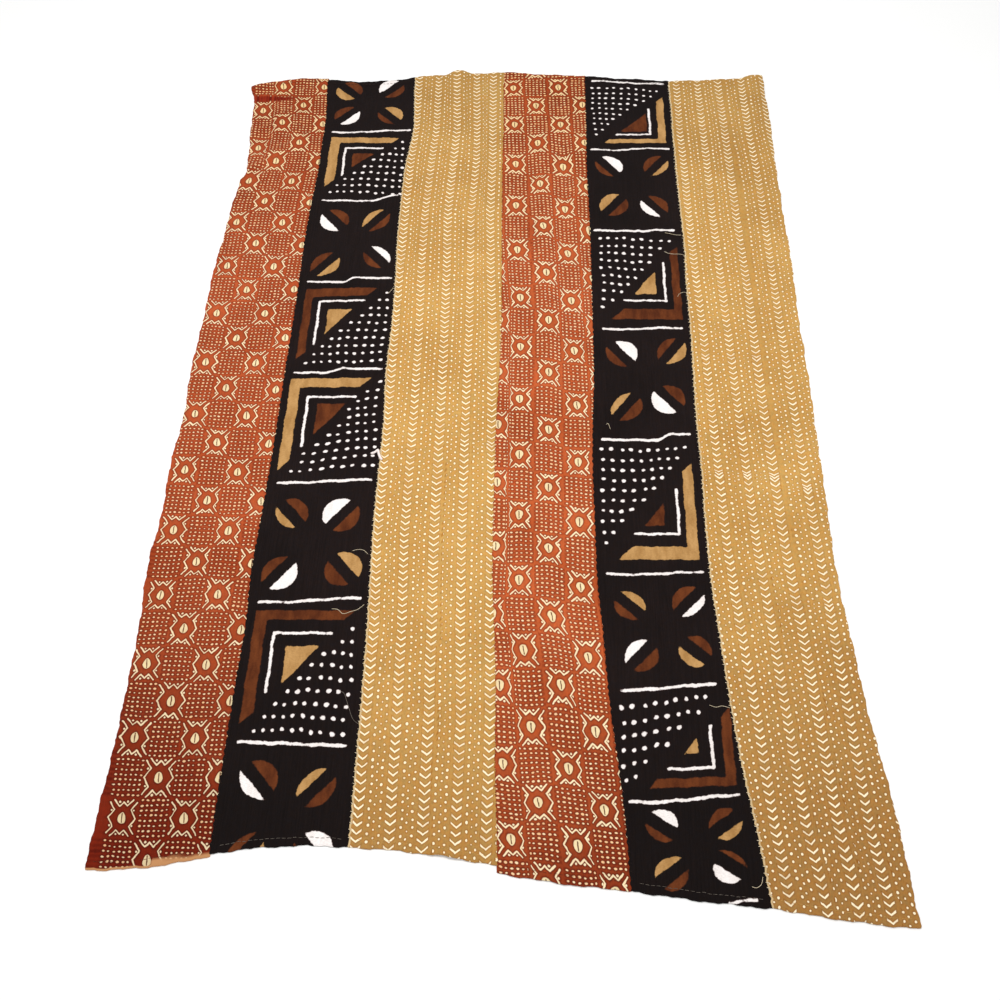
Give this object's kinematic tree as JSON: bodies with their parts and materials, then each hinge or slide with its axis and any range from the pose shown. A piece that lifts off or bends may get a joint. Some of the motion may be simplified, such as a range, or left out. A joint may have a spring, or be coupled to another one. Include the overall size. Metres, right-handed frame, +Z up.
{
  "type": "mud cloth",
  "caption": "Handwoven cotton mud cloth of rust, black and gold strips sewn side by side with hemmed ends, lying flat with soft folds; a rug, throw or wall cloth.",
  "frame": {"origin": "under the middle of the cloth's outline, on the surface it lies on", "axes": "+Z up out of the cloth's face; +Y along the strips, away from the near hems; +X across the strips, from the left rust strip to the right gold strip"},
  "size_m": [1.1793, 1.78, 0.0134],
  "materials": {
    "rust_cotton": "matt handwoven cotton dyed rust",
    "black_cotton": "matt handwoven cotton dyed with black mud",
    "gold_cotton": "matt handwoven cotton dyed gold",
    "sewing_thread": "plain undyed cotton sewing thread"
  },
  "bodies": {
    "root": {"strip_rust_left": "rust_cotton", "strip_black_left": "black_cotton", "strip_gold_left": "gold_cotton", "strip_rust_right": "rust_cotton", "strip_black_right": "black_cotton", "strip_gold_right": "gold_cotton"}
  },
  "joints": []
}
